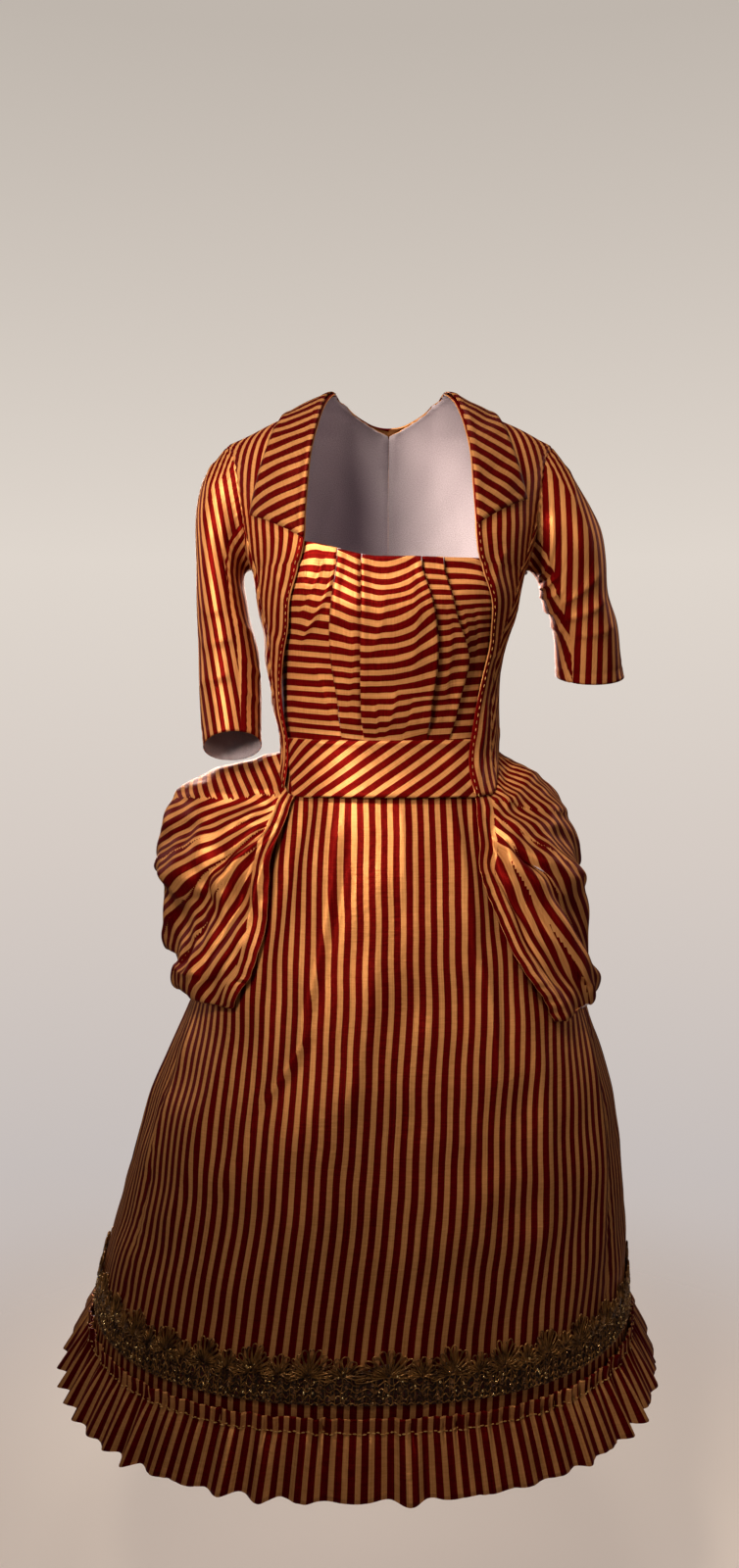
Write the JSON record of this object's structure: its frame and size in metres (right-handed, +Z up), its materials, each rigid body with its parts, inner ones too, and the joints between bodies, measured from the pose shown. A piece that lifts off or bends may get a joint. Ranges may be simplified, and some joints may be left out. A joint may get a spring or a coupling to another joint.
{
  "type": "striped satin bustle dress with short-waisted jacket",
  "caption": "Bustle dress worn hollow: open jacket bodice with lapel collar and elbow sleeves, pleated plastron, belt, puffed side and back drape, long bell skirt with lace band and gathered ruffle hem.",
  "frame": {"origin": "on the wearer's body axis, midway between the two shoulder seams and at mid height of them, where the garment is held", "axes": "+Z is up along the body; the front faces -Y; +X is the wearer's left"},
  "size_m": [0.6885, 0.7703, 1.0865],
  "materials": {
    "striped_satin": "crimson and gold striped satin",
    "metal_lace": "dark antique gold metal thread lace"
  },
  "bodies": {
    "root": {"skirt": "striped_satin", "ruffle": "striped_satin", "lace_band": "metal_lace", "plastron": "striped_satin", "belt": "striped_satin", "jacket_front_right": "striped_satin", "jacket_front_left": "striped_satin", "jacket_side_right": "striped_satin", "jacket_side_left": "striped_satin", "jacket_back_right": "striped_satin", "jacket_back_left": "striped_satin", "sleeve_right": "striped_satin", "sleeve_left": "striped_satin", "collar": "striped_satin", "pannier_right": "striped_satin", "pannier_left": "striped_satin", "bustle_puff": "striped_satin"}
  },
  "joints": []
}
